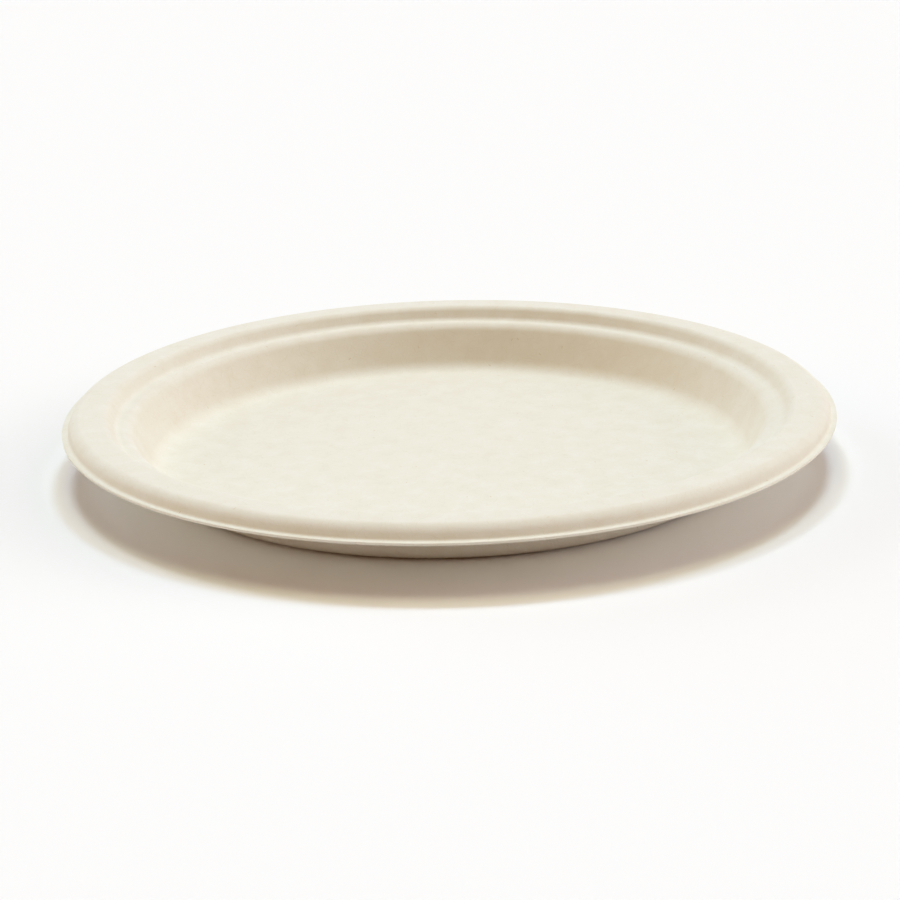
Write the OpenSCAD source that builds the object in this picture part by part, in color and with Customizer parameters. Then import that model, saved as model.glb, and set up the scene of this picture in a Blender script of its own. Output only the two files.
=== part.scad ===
// Moulded plant-fibre plate with a stepped side and a rolled rim.
// It is one pressed piece of even thickness, with a flat floor, a steep side,
// a narrow ledge, a riser, a rounded crest and a flat edge trimmed all round.
// Sizes are measured on the top face, which the food touches.
// The origin is the centre of the base, +Z is up.

/* [Plate] */
// Overall diameter, over the trimmed edge
plate_d = 260; // [180:1:320]
// Overall height, from the table to the crest of the rim
plate_h = 21.7; // [20:0.1:30]
// Thickness of the pressed fibre
fibre_t = 0.8; // [0.5:0.05:1.1]

/* [Edge] */
// Width of the flat edge outside the lip
edge_w = 1.9; // [1.2:0.1:8]
// Height of the flat edge's top above the table
edge_h = 17.3; // [10:0.1:18]
// Fillet between the lip and the flat edge
edge_r = 1.1; // [0.3:0.1:1.8]

/* [Crest] */
// Width of the crest, between the lines of the riser and the lip
crest_w = 11.5; // [9:0.1:20]
// Radius of the crest's inner shoulder, over the riser
crest_in_r = 3.2; // [2:0.1:7]
// Radius of the crest's outer shoulder, over the lip
crest_out_r = 3.9; // [2:0.1:7]
// Slope of the outer lip from the horizontal, in degrees
lip_a = 71; // [50:1:85]

/* [Ledge] */
// Height of the ledge's top above the table
ledge_h = 16.9; // [12:0.1:18]
// Width of the ledge, between the lines of the side and the riser
ledge_w = 5; // [4:0.1:10]
// Slope of the riser between the ledge and the crest, in degrees
riser_a = 60; // [40:1:65]
// Fillet at the foot of the riser
riser_r = 2.8; // [0.5:0.1:3.2]
// Radius of the ledge's inner shoulder, at the top of the side
ledge_r = 4.4; // [1.5:0.1:5.5]

/* [Side] */
// Slope of the side from the horizontal, in degrees
side_a = 65; // [45:1:75]
// Fillet between the floor and the side
floor_r = 6.6; // [2:0.1:12]

/* [Hidden] */
$fn = 180;

// Corners of the top face, worked out from the trimmed edge inward.
edge_out = [plate_d / 2, edge_h];
lip_foot = [edge_out[0] - edge_w, edge_h];
crest_out = [lip_foot[0] - (plate_h - edge_h) / tan(lip_a), plate_h];
crest_in = [crest_out[0] - crest_w, plate_h];
riser_foot = [crest_in[0] - (plate_h - ledge_h) / tan(riser_a), ledge_h];
ledge_in = [riser_foot[0] - ledge_w, ledge_h];
side_foot = [ledge_in[0] - (ledge_h - fibre_t) / tan(side_a), fibre_t];
floor_mid = [0, fibre_t];

// The top face from the axis out to the trimmed edge, and the fillet at each corner.
corners = [floor_mid, side_foot, ledge_in, riser_foot, crest_in, crest_out, lip_foot, edge_out];
fillets = [0, floor_r, ledge_r, riser_r, crest_in_r, crest_out_r, edge_r, 0];
last = len(corners) - 1;

// Spare room that a region reaches past the plate, so that no two cuts share an edge.
spare = 5;

// Direction of the run from corner i to the next, and the direction square to a run, downward.
function along(i) = (corners[i + 1] - corners[i]) / norm(corners[i + 1] - corners[i]);
function under(i) = [along(i)[1], -along(i)[0]];

// Angle turned at corner i. Turning up leaves a hollow on the top face, turning down a shoulder.
function turned(i) = asin(cross(along(i - 1), along(i)));
function hollow(i) = turned(i) > 0;

// Length that a fillet takes from the runs beside it, and how far a short run draws its fillets in.
fullest = 0.98;
function wanted(i) = i == 0 || i == last ? 0 : fillets[i] * tan(abs(turned(i)) / 2);
function run_length(i) = norm(corners[i + 1] - corners[i]);
function room(i) = min(1, fullest * run_length(i) / (wanted(i) + wanted(i + 1)));
function drawn_in(i) = min(room(i - 1), room(i));
function fillet(i) = fillets[i] * drawn_in(i);
function setback(i) = i == 0 || i == last ? 0 : wanted(i) * drawn_in(i);

// Where run i starts and ends, past the stretches that its two fillets take.
function run_start(i) = corners[i] + along(i) * setback(i);
function run_end(i) = corners[i + 1] - along(i) * setback(i + 1);

// Centre of the fillet at corner i, and its radius at a depth under the top face.
function centre(i) = run_end(i - 1) + under(i - 1) * (hollow(i) ? -fillet(i) : fillet(i));
function radius(i, depth) = fillet(i) + (hollow(i) ? depth : -depth);

module fillet_circle(i, depth) {
    translate(centre(i)) circle(r = radius(i, depth));
}

// Half a section through all that lies under the face at this depth, reaching past the plate
// by a margin. Its outline runs straight across each fillet, and a full circle then rounds
// the shoulder or hollows the foot.
module below(depth, margin) {
    inner = run_start(0) + under(0) * depth - [margin, 0];
    outer = run_end(last - 1) + under(last - 1) * depth + [margin, 0];
    foot = -spare - margin;
    runs = [for (i = [last - 1 : -1 : 0]) each [run_end(i) + under(i) * depth, run_start(i) + under(i) * depth]];
    difference() {
        union() {
            polygon(concat([[inner[0], foot], [outer[0], foot], outer], runs, [inner]));
            for (i = [1 : last - 1]) if (!hollow(i)) fillet_circle(i, depth);
        }
        for (i = [1 : last - 1]) if (hollow(i)) fillet_circle(i, depth);
    }
}

// Half of the plate's section, from its axis out: the fibre between its top and its underside.
module section() {
    difference() {
        below(depth = 0, margin = 0);
        below(depth = fibre_t, margin = spare);
    }
}

module plate() {
    color([0.94, 0.91, 0.83])
        rotate_extrude() section();
}

plate();
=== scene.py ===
"""A round plate of moulded plant fibre, standing free on a pale floor.

The plate is one pressed sheet of even thickness. Its section is drawn as a line of straight runs and
round bends, turned about its axis, and given its thickness below.
"""

import logging
import math
from dataclasses import dataclass, field
from enum import Enum

import bpy
from mathutils import Matrix, Vector


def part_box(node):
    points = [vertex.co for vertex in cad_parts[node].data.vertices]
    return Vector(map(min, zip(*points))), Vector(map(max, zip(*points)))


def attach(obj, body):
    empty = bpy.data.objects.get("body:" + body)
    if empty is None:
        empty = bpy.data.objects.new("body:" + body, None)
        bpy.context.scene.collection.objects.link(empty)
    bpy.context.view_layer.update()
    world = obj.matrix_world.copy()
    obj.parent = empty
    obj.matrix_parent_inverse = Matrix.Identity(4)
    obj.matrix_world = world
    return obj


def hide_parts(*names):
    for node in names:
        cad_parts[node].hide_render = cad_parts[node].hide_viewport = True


MM = 0.001
PHOTO_SIDE_PX = 900
FLAT_MAP = "pressed_flat"
SCREEN_SIDE = "screen_side"

# Numbers of a Mix node's sockets when it mixes colours: its two colours going in, and the one coming out.
MIX_FIRST, MIX_SECOND, MIX_RESULT = 6, 7, 2
# Distance between the bands of a wave texture whose scale is 1.
WAVE_PERIOD = 2 * math.pi / 20

log = logging.getLogger("plate")
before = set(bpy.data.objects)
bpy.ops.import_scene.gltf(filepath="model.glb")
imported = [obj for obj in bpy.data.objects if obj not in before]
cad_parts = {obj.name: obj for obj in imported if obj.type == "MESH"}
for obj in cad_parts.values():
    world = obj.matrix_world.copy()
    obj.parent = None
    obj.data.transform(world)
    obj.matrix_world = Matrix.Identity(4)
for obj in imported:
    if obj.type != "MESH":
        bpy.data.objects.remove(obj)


def linear(hex_colour: str) -> tuple[float, float, float, float]:
    """Turns an sRGB hex colour into the linear values that the shader takes.

    Args:
        hex_colour: six hex digits, such as "EFE9D6".

    Returns:
        Red, green, blue and an alpha of 1.
    """
    shares = [int(hex_colour[i:i + 2], 16) / 255 for i in (0, 2, 4)]
    red, green, blue = (c / 12.92 if c <= 0.04045 else ((c + 0.055) / 1.055) ** 2.4 for c in shares)
    return red, green, blue, 1.0


def add_node(tree: bpy.types.NodeTree, kind: str, settings: dict | None = None,
             links: dict | None = None) -> bpy.types.Node:
    """Adds a node to a tree.

    Args:
        tree: the node tree.
        kind: the node's type name, without its ShaderNode prefix.
        settings: a value for each property (a name) or input (a socket's name or number).
        links: an output socket to join to each input (a socket's name or number).

    Returns:
        The new node.
    """
    node = tree.nodes.new("ShaderNode" + kind)
    for key, value in (settings or {}).items():
        if isinstance(key, str) and hasattr(node, key):
            setattr(node, key, value)
        else:
            node.inputs[key].default_value = value
    for key, socket in (links or {}).items():
        tree.links.new(socket, node.inputs[key])
    return node


class Corner(Enum):
    """Which way the section turns at a corner, seen from the food side."""

    HOLLOW = 1
    SHOULDER = -1


@dataclass
class PlateForm:
    """The plate's section, in millimetres on its top face, from the axis out to the trimmed edge.

    A name's last letter says what it gives: a diameter, a height, a thickness, a width, a radius, or an
    angle from the horizontal in degrees.
    """

    plate_d: float
    plate_h: float
    fibre_t: float = 0.8
    edge_w: float = 1.9
    edge_h: float = 17.3
    edge_r: float = 1.1
    lip_a: float = 71.0
    crest_w: float = 11.5
    crest_out_r: float = 3.9
    crest_in_r: float = 3.2
    riser_a: float = 60.0
    riser_r: float = 2.8
    ledge_h: float = 16.9
    ledge_w: float = 5.0
    ledge_r: float = 4.4
    side_a: float = 65.0
    floor_r: float = 6.6
    corners: list[Vector] = field(init=False)
    fillets: list[float] = field(init=False)

    def __post_init__(self) -> None:
        """Works out the corners from the trimmed edge inward."""
        edge_out = self.plate_d / 2
        lip_foot = edge_out - self.edge_w
        crest_out = lip_foot - (self.plate_h - self.edge_h) / math.tan(math.radians(self.lip_a))
        crest_in = crest_out - self.crest_w
        riser_foot = crest_in - (self.plate_h - self.ledge_h) / math.tan(math.radians(self.riser_a))
        ledge_in = riser_foot - self.ledge_w
        side_foot = ledge_in - (self.ledge_h - self.fibre_t) / math.tan(math.radians(self.side_a))
        self.corners = [Vector(p) for p in (
            (0.0, self.fibre_t), (side_foot, self.fibre_t), (ledge_in, self.ledge_h),
            (riser_foot, self.ledge_h), (crest_in, self.plate_h), (crest_out, self.plate_h),
            (lip_foot, self.edge_h), (edge_out, self.edge_h))]
        self.fillets = [0.0, self.floor_r, self.ledge_r, self.riser_r,
                        self.crest_in_r, self.crest_out_r, self.edge_r, 0.0]

    def along(self, i: int) -> Vector:
        """Direction of the run from corner i to the next."""
        return (self.corners[i + 1] - self.corners[i]).normalized()

    def turned(self, i: int) -> float:
        """Angle that the section turns through at corner i, in radians, up being positive."""
        before, after = self.along(i - 1), self.along(i)
        return math.asin(before.x * after.y - before.y * after.x)

    def corner(self, i: int) -> Corner:
        """Which way the section turns at corner i."""
        return Corner.HOLLOW if self.turned(i) > 0 else Corner.SHOULDER

    def setback(self, i: int) -> float:
        """Length that the fillet of corner i takes from the runs on its two sides."""
        inner = 0 < i < len(self.corners) - 1
        return self.fillets[i] * math.tan(abs(self.turned(i)) / 2) if inner else 0.0

    def run(self, i: int) -> tuple[Vector, Vector]:
        """Finds the straight run from a corner to the next, between their fillets.

        Args:
            i: the corner's number.

        Returns:
            The run's start and its end.
        """
        start = self.corners[i] + self.along(i) * self.setback(i)
        end = self.corners[i + 1] - self.along(i) * self.setback(i + 1)
        return start, end

    def centre(self, i: int) -> Vector:
        """Finds the centre of a corner's fillet.

        Args:
            i: the corner's number.

        Returns:
            The centre, above the sheet in a hollow and below it at a shoulder.
        """
        way = self.along(i - 1)
        upward = Vector((-way.y, way.x))
        return self.run(i - 1)[1] + upward * self.fillets[i] * self.corner(i).value


@dataclass(frozen=True)
class Flecks:
    """Small slivers laid at random: each lies somewhere in a cell of its own, turned any way.

    A share of the cells holds one, and a share of those is drawn at full strength, the rest fainter.
    A sliver keeps its width over a share of its length, and fades out towards its tips. It bows aside by
    its bend times the square of the way along it, both in cells. The offset makes one layer's cells lie
    apart from another's.
    """

    cell_mm: float
    length_mm: float
    width_mm: float
    bend: float = 0.0
    share: float = 1.0
    full_share: float = 0.4
    body_share: float = 0.6
    offset_mm: float = 0.0

    def mask(self, tree: bpy.types.NodeTree, flat: bpy.types.NodeSocket) -> bpy.types.NodeSocket:
        """Adds the nodes that draw the slivers.

        Args:
            tree: the material's nodes.
            flat: the place on the sheet, in metres.

        Returns:
            A socket that is 1 along the middle of a sliver and 0 beside it.
        """
        cells_per_m = 1 / (self.cell_mm * MM)
        cells_aside = self.offset_mm / self.cell_mm
        shifted = add_node(tree, "VectorMath", {"operation": "MULTIPLY_ADD", 1: [cells_per_m] * 3,
                                                2: [cells_aside] * 3}, {0: flat})
        cells = add_node(tree, "TexVoronoi", {"voronoi_dimensions": "2D", "Scale": 1.0},
                         {"Vector": shifted.outputs[0]})
        chance = add_node(tree, "SeparateColor", links={0: cells.outputs["Color"]})
        from_middle = add_node(tree, "VectorMath", {"operation": "SUBTRACT"},
                               {0: shifted.outputs[0], 1: cells.outputs["Position"]})
        angle = add_node(tree, "Math", {"operation": "MULTIPLY", 1: 2 * math.pi}, {0: chance.outputs[0]})
        turned = add_node(tree, "VectorRotate", {"rotation_type": "Z_AXIS"},
                          {"Vector": from_middle.outputs[0], "Angle": angle.outputs[0]})
        way = add_node(tree, "SeparateXYZ", links={0: turned.outputs[0]})
        squared = add_node(tree, "Math", {"operation": "MULTIPLY"}, {0: way.outputs[0], 1: way.outputs[0]})
        bowed = add_node(tree, "Math", {"operation": "MULTIPLY_ADD", 1: self.bend},
                         {0: squared.outputs[0], 2: way.outputs[1]})
        aside = add_node(tree, "Math", {"operation": "ABSOLUTE"}, {0: bowed.outputs[0]})
        ahead = add_node(tree, "Math", {"operation": "ABSOLUTE"}, {0: way.outputs[0]})
        half_width = self.width_mm / self.cell_mm / 2
        half_length = self.length_mm / self.cell_mm / 2
        across = add_node(tree, "MapRange", {"interpolation_type": "SMOOTHSTEP", "From Min": half_width,
                                             "From Max": 0.0}, {"Value": aside.outputs[0]})
        lengthwise = add_node(tree, "MapRange",
                              {"interpolation_type": "SMOOTHSTEP", "From Min": half_length,
                               "From Max": half_length * self.body_share}, {"Value": ahead.outputs[0]})
        strength = add_node(tree, "MapRange",
                            {"From Min": self.share, "From Max": self.share * self.full_share},
                            {"Value": chance.outputs[1]})
        sliver = add_node(tree, "Math", {"operation": "MULTIPLY"},
                          {0: across.outputs[0], 1: lengthwise.outputs[0]})
        shown = add_node(tree, "Math", {"operation": "MULTIPLY"},
                         {0: sliver.outputs[0], 1: strength.outputs[0]})
        return shown.outputs[0]


@dataclass(frozen=True)
class MouldedPulp:
    """Unbleached plant fibre, pressed from wet pulp between heated screens and dies.

    The eye sees a matt cream sheet, a little cloudy where the fibres lay thicker, with short fibres
    pressed flat in it, a few tan slivers of rind, and a faint grain. The side that lay on the forming
    screen keeps its weave.
    """

    name: str = "pressed_plant_fibre"
    colour: str = "EFEDE0"
    cloud_colour: str = "EBE7D7"
    fibre_colour: str = "D9CDAB"
    rind_colour: str = "DACDAE"
    roughness: float = 0.88
    ior: float = 1.5
    cloud_mm: float = 9.0
    cloud_detail: float = 4.0
    cloud_roughness: float = 0.65
    cloud_from: float = 0.35
    cloud_to: float = 0.7
    grain_mm: float = 0.7
    grain_detail: float = 3.0
    grain_roughness: float = 0.6
    grain_depth_mm: float = 0.025
    fibre_strength: float = 0.21
    fibre_height_mm: float = 0.02
    screen_depth_mm: float = 0.05
    # The real screen has about 0.5 mm between its wires. It is drawn twice as coarse, so that it shows.
    screen_mm: float = 1.1
    fibres: tuple[Flecks, ...] = (
        Flecks(cell_mm=3.0, length_mm=3.2, width_mm=0.3, bend=0.5),
        Flecks(cell_mm=4.6, length_mm=5.0, width_mm=0.35, bend=-0.4, offset_mm=17.0),
        Flecks(cell_mm=2.1, length_mm=2.0, width_mm=0.25, bend=0.3, offset_mm=31.0),
    )
    rind: Flecks = Flecks(cell_mm=8.0, length_mm=1.3, width_mm=0.5, share=0.2, full_share=0.1, offset_mm=53.0)

    def felt(self, tree: bpy.types.NodeTree, flat: bpy.types.NodeSocket) -> bpy.types.NodeSocket:
        """Lays the fibres over one another.

        Args:
            tree: the material's nodes.
            flat: the place on the sheet, in metres.

        Returns:
            A socket that is 1 along a fibre and 0 between them.
        """
        laid = self.fibres[0].mask(tree, flat)
        for layer in self.fibres[1:]:
            above = add_node(tree, "Math", {"operation": "MAXIMUM"}, {0: laid, 1: layer.mask(tree, flat)})
            laid = above.outputs[0]
        return laid

    def weave(self, tree: bpy.types.NodeTree, flat: bpy.types.NodeSocket) -> bpy.types.NodeSocket:
        """Draws the forming screen's weave, on the side that lay on it.

        Args:
            tree: the material's nodes.
            flat: the place on the sheet, in metres.

        Returns:
            A socket with the height of the print, from 0 to 1.
        """
        wires = []
        for way in ("X", "Y"):
            wave = add_node(tree, "TexWave",
                            {"wave_type": "BANDS", "bands_direction": way, "wave_profile": "SIN",
                             "Scale": WAVE_PERIOD / (self.screen_mm * MM)}, {"Vector": flat})
            wires.append(wave.outputs["Fac"])
        crossed = add_node(tree, "Math", {"operation": "MULTIPLY"}, {0: wires[0], 1: wires[1]})
        side = add_node(tree, "Attribute", {"attribute_name": SCREEN_SIDE})
        print_height = add_node(tree, "Math", {"operation": "MULTIPLY"},
                                {0: crossed.outputs[0], 1: side.outputs["Fac"]})
        return print_height.outputs[0]

    def raised(self, tree: bpy.types.NodeTree, height: bpy.types.NodeSocket, depth_mm: float,
               below: bpy.types.NodeSocket | None = None) -> bpy.types.NodeSocket:
        """Adds a relief of a depth to the surface.

        Args:
            tree: the material's nodes.
            height: the relief, from 0 to 1.
            depth_mm: its depth.
            below: the surface that it lies on.

        Returns:
            The surface's normal.
        """
        links = {"Height": height} | ({"Normal": below} if below else {})
        return add_node(tree, "Bump", {"Strength": 1.0, "Distance": depth_mm * MM}, links).outputs[0]

    def material(self) -> bpy.types.Material:
        """Makes the node material.

        Returns:
            The material, named for the finish.
        """
        material = bpy.data.materials.new(self.name)
        material.use_nodes = True
        tree = material.node_tree
        tree.nodes.clear()
        flat = add_node(tree, "UVMap", {"uv_map": FLAT_MAP}).outputs[0]
        clouds = add_node(tree, "TexNoise",
                          {"Scale": 1 / (self.cloud_mm * MM), "Detail": self.cloud_detail,
                           "Roughness": self.cloud_roughness}, {"Vector": flat})
        cloudy = add_node(tree, "MapRange", {"From Min": self.cloud_from, "From Max": self.cloud_to},
                          {"Value": clouds.outputs["Fac"]})
        sheet = add_node(tree, "Mix",
                         {"data_type": "RGBA", MIX_FIRST: linear(self.colour),
                          MIX_SECOND: linear(self.cloud_colour)}, {0: cloudy.outputs[0]})
        felt = self.felt(tree, flat)
        faint = add_node(tree, "Math", {"operation": "MULTIPLY", 1: self.fibre_strength}, {0: felt})
        fibrous = add_node(tree, "Mix", {"data_type": "RGBA", MIX_SECOND: linear(self.fibre_colour)},
                           {0: faint.outputs[0], MIX_FIRST: sheet.outputs[MIX_RESULT]})
        flecked = add_node(tree, "Mix", {"data_type": "RGBA", MIX_SECOND: linear(self.rind_colour)},
                           {0: self.rind.mask(tree, flat), MIX_FIRST: fibrous.outputs[MIX_RESULT]})
        grain = add_node(tree, "TexNoise",
                         {"Scale": 1 / (self.grain_mm * MM), "Detail": self.grain_detail,
                          "Roughness": self.grain_roughness}, {"Vector": flat})
        grained = self.raised(tree, grain.outputs["Fac"], self.grain_depth_mm)
        felted = self.raised(tree, felt, self.fibre_height_mm, grained)
        printed = self.raised(tree, self.weave(tree, flat), self.screen_depth_mm, felted)
        shader = add_node(tree, "BsdfPrincipled", {"Roughness": self.roughness, "IOR": self.ior},
                          {"Base Color": flecked.outputs[MIX_RESULT], "Normal": printed})
        add_node(tree, "OutputMaterial", links={"Surface": shader.outputs[0]})
        return material


@dataclass
class MouldedPlate:
    """The plate: one pressed sheet, drawn as a section, turned about its axis and thickened."""

    form: PlateForm
    finish: MouldedPulp
    node: str = "plate"
    turns: int = 384
    bend_step_deg: float = 6.0
    least_bend_steps: int = 3
    run_step_mm: float = 2.5
    weld_mm: float = 0.001
    edge_round_mm: float = 0.12
    edge_round_segments: int = 2
    edge_angle_deg: float = 60.0
    smooth_angle_deg: float = 35.0

    def draw_section(self) -> bpy.types.Object:
        """Draws half of the top face's section, from the axis out.

        Returns:
            An object of edges alone, in the plane of X and Z.
        """
        bpy.ops.object.select_all(action="DESELECT")
        start = self.form.run(0)[0]
        bpy.ops.mesh.primitive_plane_add(size=MM, location=(start.x * MM, 0.0, start.y * MM))
        section = bpy.context.object
        bpy.ops.object.mode_set(mode="EDIT")
        bpy.ops.mesh.select_mode(type="VERT")
        bpy.ops.mesh.select_all(action="SELECT")
        bpy.ops.mesh.merge(type="CENTER")
        last = len(self.form.corners) - 1
        for i in range(last):
            run_start, run_end = self.form.run(i)
            self.extend(run_end - run_start)
            if i + 1 < last:
                self.bend(i + 1)
        bpy.ops.object.mode_set(mode="OBJECT")
        self.measure_path(section)
        return section

    def measure_path(self, section: bpy.types.Object) -> None:
        """Notes at each vertex of the section how far along the sheet it lies from the axis.

        Args:
            section: the section, whose vertices go outward from the axis without turning back.
        """
        path = section.data.attributes.new("path", "FLOAT", "POINT")
        outward = sorted(section.data.vertices, key=lambda vertex: vertex.co.x)
        length = 0.0
        for before, after in zip(outward, outward[1:]):
            length += (after.co - before.co).length
            path.data[after.index].value = length

    def extend(self, run: Vector) -> None:
        """Extrudes the chain's end vertex along a straight run, in steps.

        Args:
            run: the run in the plane of the section, in millimetres.
        """
        steps = max(1, round(run.length / self.run_step_mm))
        for _ in range(steps):
            step = (run.x * MM / steps, 0.0, run.y * MM / steps)
            bpy.ops.mesh.extrude_vertices_move(TRANSFORM_OT_translate={"value": step})

    def bend(self, i: int) -> None:
        """Spins the chain's end vertex about a fillet's centre.

        Args:
            i: the corner's number.
        """
        centre = self.form.centre(i) * MM
        angle = self.form.turned(i)
        steps = max(self.least_bend_steps, round(abs(math.degrees(angle)) / self.bend_step_deg))
        bpy.ops.mesh.spin(steps=steps, angle=angle, center=(centre.x, 0.0, centre.y), axis=(0.0, 1.0, 0.0))

    def turn(self, sheet: bpy.types.Object) -> None:
        """Turns the section about the plate's axis, closes the seam and points the faces up.

        Args:
            sheet: the section's object.
        """
        bpy.ops.object.mode_set(mode="EDIT")
        bpy.ops.mesh.select_all(action="SELECT")
        bpy.ops.mesh.spin(steps=self.turns, angle=2 * math.pi, center=(0.0, 0.0, 0.0), axis=(0.0, 0.0, 1.0))
        bpy.ops.mesh.select_all(action="SELECT")
        bpy.ops.mesh.remove_doubles(threshold=self.weld_mm * MM)
        bpy.ops.mesh.normals_make_consistent(inside=False)
        bpy.ops.object.mode_set(mode="OBJECT")
        bpy.ops.object.transform_apply(location=True, rotation=True, scale=True)
        if sheet.data.polygons[0].normal.z < 0:
            bpy.ops.object.mode_set(mode="EDIT")
            bpy.ops.mesh.flip_normals()
            bpy.ops.object.mode_set(mode="OBJECT")

    def thicken(self, sheet: bpy.types.Object) -> None:
        """Gives the sheet its thickness below the top face, and eases the trimmed edge.

        Args:
            sheet: the turned sheet.
        """
        wall = sheet.modifiers.new("pressed thickness", "SOLIDIFY")
        wall.thickness = self.form.fibre_t * MM
        wall.offset = -1.0
        wall.use_even_offset = True
        bpy.ops.object.modifier_apply(modifier=wall.name)
        ease = sheet.modifiers.new("trimmed edge", "BEVEL")
        ease.width = self.edge_round_mm * MM
        ease.segments = self.edge_round_segments
        ease.limit_method = "ANGLE"
        ease.angle_limit = math.radians(self.edge_angle_deg)
        bpy.ops.object.modifier_apply(modifier=ease.name)
        bpy.ops.object.shade_smooth_by_angle(angle=math.radians(self.smooth_angle_deg))

    def lay_flat(self, sheet: bpy.types.Object) -> None:
        """Maps the sheet as it lay before pressing, and marks the side that lay on the screen.

        Args:
            sheet: the thickened sheet, with the length of the path at each vertex.
        """
        mesh = sheet.data
        path = mesh.attributes["path"].data
        flat = mesh.uv_layers.new(name=FLAT_MAP)
        for corner in mesh.loops:
            vertex = mesh.vertices[corner.vertex_index].co
            spread = path[corner.vertex_index].value / max(math.hypot(vertex.x, vertex.y), MM)
            flat.uv[corner.index].vector = (vertex.x * spread, vertex.y * spread)
        side = mesh.attributes.new(SCREEN_SIDE, "FLOAT", "FACE")
        for face in mesh.polygons:
            side.data[face.index].value = 1.0 if face.normal.z < 0 else 0.0

    def build(self) -> bpy.types.Object:
        """Models and dresses the plate.

        Returns:
            The finished plate.
        """
        sheet = self.draw_section()
        self.turn(sheet)
        self.thicken(sheet)
        self.lay_flat(sheet)
        sheet.name = "moulded_plate"
        sheet.data.materials.append(self.finish.material())
        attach(sheet, "root")
        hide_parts(self.node)
        return sheet


@dataclass(frozen=True)
class Softbox:
    """A large soft lamp far away. Its light is what it adds to a white sheet that faces it."""

    name: str
    azimuth_deg: float
    elevation_deg: float
    size_deg: float
    light: tuple[float, float, float]

    def add(self) -> None:
        """Hangs the lamp. Azimuths go clockwise from behind the plate, seen from above."""
        azimuth, elevation = math.radians(self.azimuth_deg), math.radians(self.elevation_deg)
        toward = Vector((math.sin(azimuth) * math.cos(elevation), math.cos(azimuth) * math.cos(elevation),
                         math.sin(elevation)))
        bpy.ops.object.light_add(type="SUN", location=toward)
        lamp = bpy.context.object
        lamp.name = self.name
        lamp.rotation_euler = toward.to_track_quat("Z", "Y").to_euler()
        # A sun of strength pi alone makes a white sheet that faces it render white.
        strength = max(self.light)
        lamp.data.color = [c / strength for c in self.light]
        lamp.data.energy = strength * math.pi
        lamp.data.angle = math.radians(self.size_deg)


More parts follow.
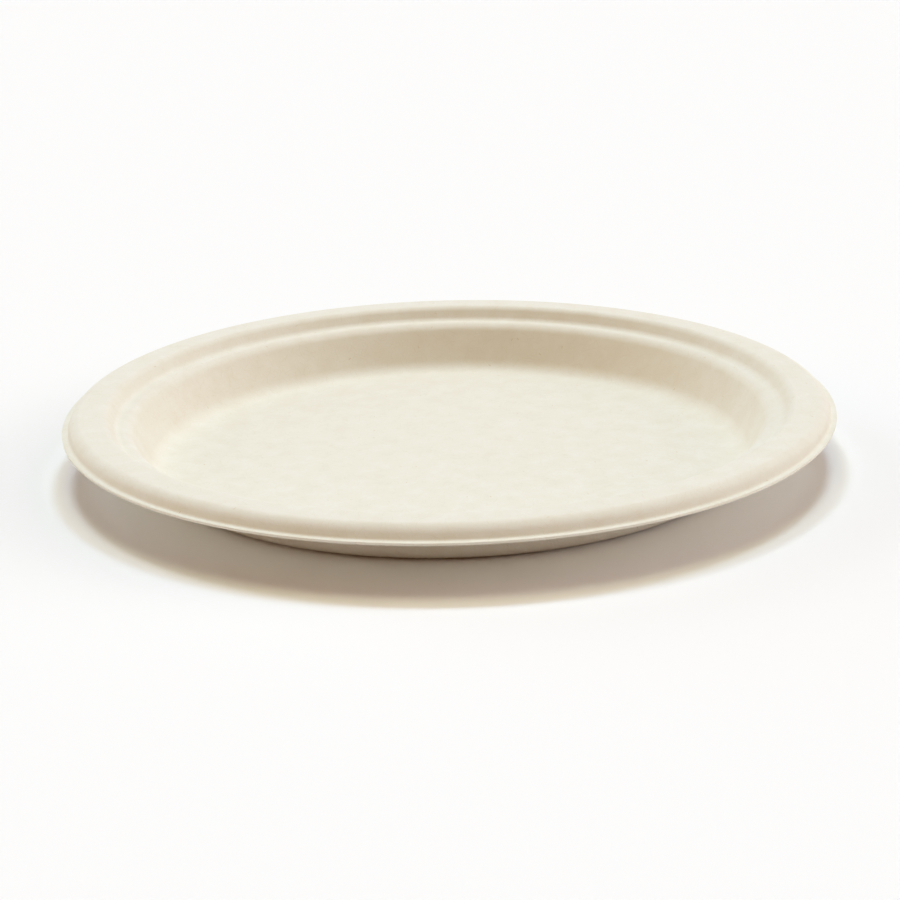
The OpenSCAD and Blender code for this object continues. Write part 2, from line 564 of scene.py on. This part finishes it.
@dataclass
class Studio:
    """A white floor, softboxes above, behind and on both sides, a weak warm room, and the camera."""

    eye_mm: tuple[float, float, float] = (0.0, -774.4, 261.2)
    aim_mm: tuple[float, float, float] = (0.0, 0.0, 2.06)
    roll_deg: float = -1.495
    focal_px: float = 2392.6
    sensor_mm: float = 36.0
    # Each has its azimuth, elevation and size in degrees, and its light in red, green and blue. Those
    # behind are cooler than those at the sides, so that the shade is warm.
    softboxes: tuple[Softbox, ...] = (
        Softbox("softbox_above", 0, 90, 30, (0.254, 0.269, 0.189)),
        Softbox("softbox_behind_left", 335, 65, 12, (0.177, 0.215, 0.273)),
        Softbox("softbox_behind_right", 25, 65, 12, (0.144, 0.211, 0.290)),
        Softbox("softbox_wide_right", 90, 30, 60, (0.264, 0.268, 0.274)),
        Softbox("softbox_wide_left", 270, 30, 60, (0.124, 0.108, 0.094)),
        Softbox("softbox_low_right", 90, 18, 30, (0.167, 0.149, 0.156)),
        Softbox("softbox_low_left", 270, 18, 30, (0.099, 0.083, 0.067)),
        Softbox("softbox_low_back_left", 315, 18, 30, (0.107, 0.164, 0.211)),
    )
    room: tuple[float, float, float] = (0.168, 0.048, 0.000)
    floor_half_m: float = 6.0
    floor_drop_mm: float = 0.05
    floor_colour: str = "FBFBFA"
    view_reach_m: float = 100.0

    def add_floor(self) -> None:
        """Lays a white floor, which the camera sees as white where no shadow falls."""
        bpy.ops.object.select_all(action="DESELECT")
        bpy.ops.mesh.primitive_plane_add(size=2 * self.floor_half_m,
                                         location=(0.0, 0.0, -self.floor_drop_mm * MM))
        floor = bpy.context.object
        floor.name = "studio_floor"
        material = bpy.data.materials.new("white_paper_floor")
        material.use_nodes = True
        tree = material.node_tree
        tree.nodes.clear()
        paper = add_node(tree, "BsdfDiffuse", {"Color": linear(self.floor_colour)})
        add_node(tree, "OutputMaterial", links={"Surface": paper.outputs[0]})
        floor.data.materials.append(material)

    def add_room(self) -> None:
        """Fills the room with weak warm light, and shows the camera white behind the floor."""
        world = bpy.data.worlds.new("soft_room")
        bpy.context.scene.world = world
        world.use_nodes = True
        tree = world.node_tree
        tree.nodes.clear()
        room = add_node(tree, "Background", {"Color": (*self.room, 1.0), "Strength": 1.0})
        white = add_node(tree, "Background", {"Color": (1.0, 1.0, 1.0, 1.0), "Strength": 1.0})
        seen = add_node(tree, "LightPath").outputs["Is Camera Ray"]
        mixed = add_node(tree, "MixShader", links={0: seen, 1: room.outputs[0], 2: white.outputs[0]})
        add_node(tree, "OutputWorld", links={"Surface": mixed.outputs[0]})

    def add_camera(self) -> None:
        """Places the camera where the photograph was taken from."""
        eye, aim = Vector(self.eye_mm) * MM, Vector(self.aim_mm) * MM
        bpy.ops.object.camera_add(location=eye)
        camera = bpy.context.object
        camera.name = "photo_view"
        turn = (eye - aim).to_track_quat("Z", "Y").to_matrix().to_4x4()
        roll = Matrix.Rotation(math.radians(self.roll_deg), 4, "Z")
        camera.matrix_world = Matrix.Translation(eye) @ turn @ roll
        camera.data.sensor_width = self.sensor_mm
        camera.data.lens = self.focal_px / PHOTO_SIDE_PX * self.sensor_mm
        camera.data.clip_end = self.view_reach_m
        bpy.context.scene.camera = camera

    def build(self) -> None:
        """Sets up the floor, the light and the camera."""
        self.add_floor()
        self.add_room()
        for softbox in self.softboxes:
            softbox.add()
        self.add_camera()
        bpy.context.scene.view_settings.view_transform = "Standard"


def main() -> None:
    """Builds the plate and the studio in the frame."""
    logging.basicConfig(level=logging.INFO, format="%(name)s: %(message)s")
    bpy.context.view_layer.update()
    low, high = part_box("plate")
    form = PlateForm(plate_d=(high[0] - low[0]) / MM, plate_h=(high[2] - low[2]) / MM)
    plate = MouldedPlate(form, MouldedPulp()).build()
    log.info("%s: %d faces", plate.name, len(plate.data.polygons))
    Studio().build()


if __name__ == "__main__":
    main()
